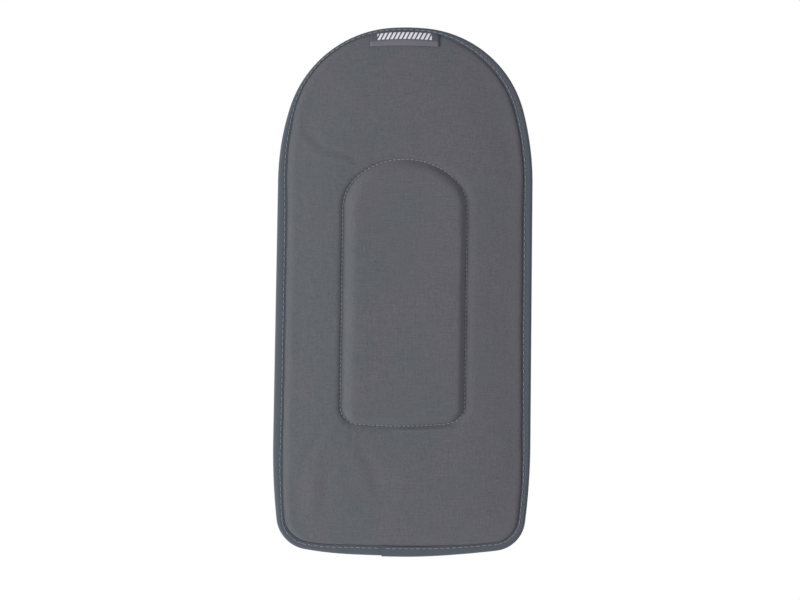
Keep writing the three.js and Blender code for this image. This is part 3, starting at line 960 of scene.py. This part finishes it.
def hook_strip(place, node):
    """A woven base with a field of hooks, and the stitches round its edge."""
    low, high = span(node)
    middle = (low + high) / 2
    half_x, half_z = (high[0] - low[0]) / 2, (high[2] - low[2]) / 2
    base_front, base_back = low[1], high[1] - HOOK_PILE
    levels = [(0, base_front), (0, base_front + 0.5), (0.15, base_back - 0.08),
              (0.4, base_back), (2.2, base_back), (2.6, base_back - 0.05)]
    rings = [np.insert(rounded(half_x - d, half_z - d, max(2 - d, 0.3)), 1, y, axis=1)
             for d, y in levels]
    count = len(rings[0])
    points = np.concatenate(rings) + [middle[0], 0, middle[2]]
    numbers = np.arange(len(points)).reshape(len(rings), count)
    faces = np.concatenate([quads(a, b) for a, b in zip(numbers, numbers[1:])]).tolist()
    faces += [numbers[0].tolist(), numbers[-1][::-1].tolist()]
    base = make(f"{place}_hook_base", points, faces, hook_base,
                weave=points[:, [0, 2]])
    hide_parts(node)

    x, z = (one.ravel() for one in np.meshgrid(*(
        np.arange(-half + HOOK_SELVEDGE, half - HOOK_SELVEDGE + 0.1, pitch)
        for half, pitch in zip((half_x, half_z), HOOK_PITCH)), indexing="ij"))
    x = x + rng.normal(0, 0.1, x.shape)
    z = z + rng.normal(0, 0.08, z.shape)
    way = np.where(np.round((z + half_z) / HOOK_PITCH[1]).astype(int) % 2 == 0, 1.0, -1.0)
    bent = np.radians([-30, 0, 35, 70, 105, 140, 175, 205])
    side = np.concatenate([[0, 0], 0.34 - 0.34 * np.cos(bent[1:])])
    up = np.concatenate([[-0.15, 0.55], 0.95 + 0.4 * np.sin(bent[1:])])
    spine = np.stack([
        x[:, None] + way[:, None] * side, base_back + np.broadcast_to(up, (len(x), len(up))),
        np.repeat(z[:, None], len(up), 1)], -1)
    ahead = np.gradient(spine, axis=1)
    ahead /= np.linalg.norm(ahead, axis=2)[..., None]
    across = np.array([0.0, 0.0, 1.0])
    other = np.cross(ahead, across)
    angle = np.radians([45, 135, 225, 315])
    tube = spine[:, :, None] + 0.13 * (
        np.cos(angle)[None, None, :, None] * across + np.sin(angle)[None, None, :, None]
        * other[:, :, None])
    numbers = np.arange(tube.size // 3).reshape(tube.shape[:3])
    a, b = numbers[:, :-1], numbers[:, 1:]
    walls = np.stack([a, np.roll(a, -1, 2), np.roll(b, -1, 2), b], -1).reshape(-1, 4).tolist()
    walls += numbers[:, 0, ::-1].tolist() + numbers[:, -1].tolist()
    points = tube.reshape(-1, 3) + [middle[0], 0, middle[2]]
    hooks = make(f"{place}_hooks", points, walls, hook_plastic)

    seam = rounded(half_x - 1.25, half_z - 1.25, 0.8)
    ends = np.concatenate([seam, seam[:1]])
    far = np.concatenate([[0], np.cumsum(np.hypot(*np.diff(ends, axis=0).T))])
    pitch = far[-1] / round(far[-1] / 3)
    s = (np.arange(round(far[-1] / pitch)) + 0.5) * pitch
    here, ahead = (np.stack([np.interp(one, far, ends[:, 0]), np.zeros(len(s)),
                             np.interp(one, far, ends[:, 1])], -1) for one in (s, s + 0.3))
    tangent = ahead - here
    tangent /= np.linalg.norm(tangent, axis=1)[:, None]
    here += [middle[0], base_back + 0.02, middle[2]]
    outward = np.tile([0.0, 1.0, 0.0], (len(s), 1))
    sewn = stitches(f"{place}_hook_stitches", here, tangent, outward, pitch * 0.72, hook_thread,
                    radius=0.15)
    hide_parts(f"{place}_hook_needle_thread")


hook_strip("upper", "upper_hook_strip")
hook_strip("lower", "lower_hook_strip")


# What stays of the CAD part, inside ------------------------------------------------------------

for node, material, slot in (
    ("main_foam", main_foam, "foam"), ("centre_pad_foam", main_foam, "foam"),
    ("stiffener_sheet", stiffener, "stiffener"), ("backing_cloth", inner_cloth, "inner_cloth"),
    ("centre_pad_bobbin_thread", pad_thread, "thread"),
    ("upper_hook_bobbin_thread", hook_thread, "hook_thread"),
    ("lower_hook_bobbin_thread", hook_thread, "hook_thread"),
):
    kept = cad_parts[node]
    kept.data.materials.clear()
    kept.data.materials.append(material)


# The room, the light and the camera -------------------------------------------------------------

def lamp(name, at, size, power, colour=(1, 1, 1)):
    """A soft square light that faces the object."""
    light = bpy.data.lights.new(name, "AREA")
    light.shape = "SQUARE"
    light.size = size
    light.energy = power
    light.color = colour
    holder = bpy.data.objects.new(name, light)
    holder.location = at
    holder.rotation_mode = "QUATERNION"
    holder.rotation_quaternion = (-Vector(at)).to_track_quat("-Z", "Y")
    holder.visible_camera = False
    bpy.context.collection.objects.link(holder)


lamp("key", (-1.7, -1.15, -0.25), 0.8, 34)
lamp("fill", (0.45, -0.62, 0.6), 0.3, 0.5)
lamp("back", (1.1, 1.5, 0.8), 1.2, 26)

angles = np.linspace(0, 2 * math.pi, 96, endpoint=False)
disc = bpy.data.meshes.new("floor")
disc.from_pydata([(3.5 * math.cos(a), 3.5 * math.sin(a), -0.9) for a in angles], [],
                 [list(range(len(angles)))])
pale = Shader("floor", roughness=0.9)
speckle = pale.noise(pale.place((0.02, 0.02, 0.02)), 2)
disc.materials.append(pale.finish(pale.tint(speckle, (0.8, 0.8, 0.8), (0.83, 0.83, 0.83))))
floor = bpy.data.objects.new("floor", disc)
bpy.context.collection.objects.link(floor)

world = bpy.data.worlds.new("world")
bpy.context.scene.world = world
world.use_nodes = True
sky = world.node_tree
sky.nodes.clear()
kinds = ("Background", "Background", "LightPath", "MixShader", "OutputWorld")
ambient, backdrop, rays, choose, out = (sky.nodes.new(f"ShaderNode{kind}") for kind in kinds)
for light in (ambient, backdrop):
    light.inputs["Color"].default_value = (1, 1, 1, 1)
ambient.inputs["Strength"].default_value = 0.5
sky.links.new(rays.outputs["Is Camera Ray"], choose.inputs[0])
sky.links.new(ambient.outputs[0], choose.inputs[1])
sky.links.new(backdrop.outputs[0], choose.inputs[2])
sky.links.new(choose.outputs[0], out.inputs["Surface"])

camera = bpy.data.objects.new("camera", bpy.data.cameras.new("camera"))
camera.data.lens = 85
camera.data.sensor_width = 36
camera.location = (-0.00295, -1.4965, -0.0061)
camera.rotation_euler = (math.pi / 2, math.radians(CAMERA_ROLL), 0)
bpy.context.collection.objects.link(camera)
bpy.context.scene.camera = camera
bpy.context.scene.view_settings.view_transform = "Standard"
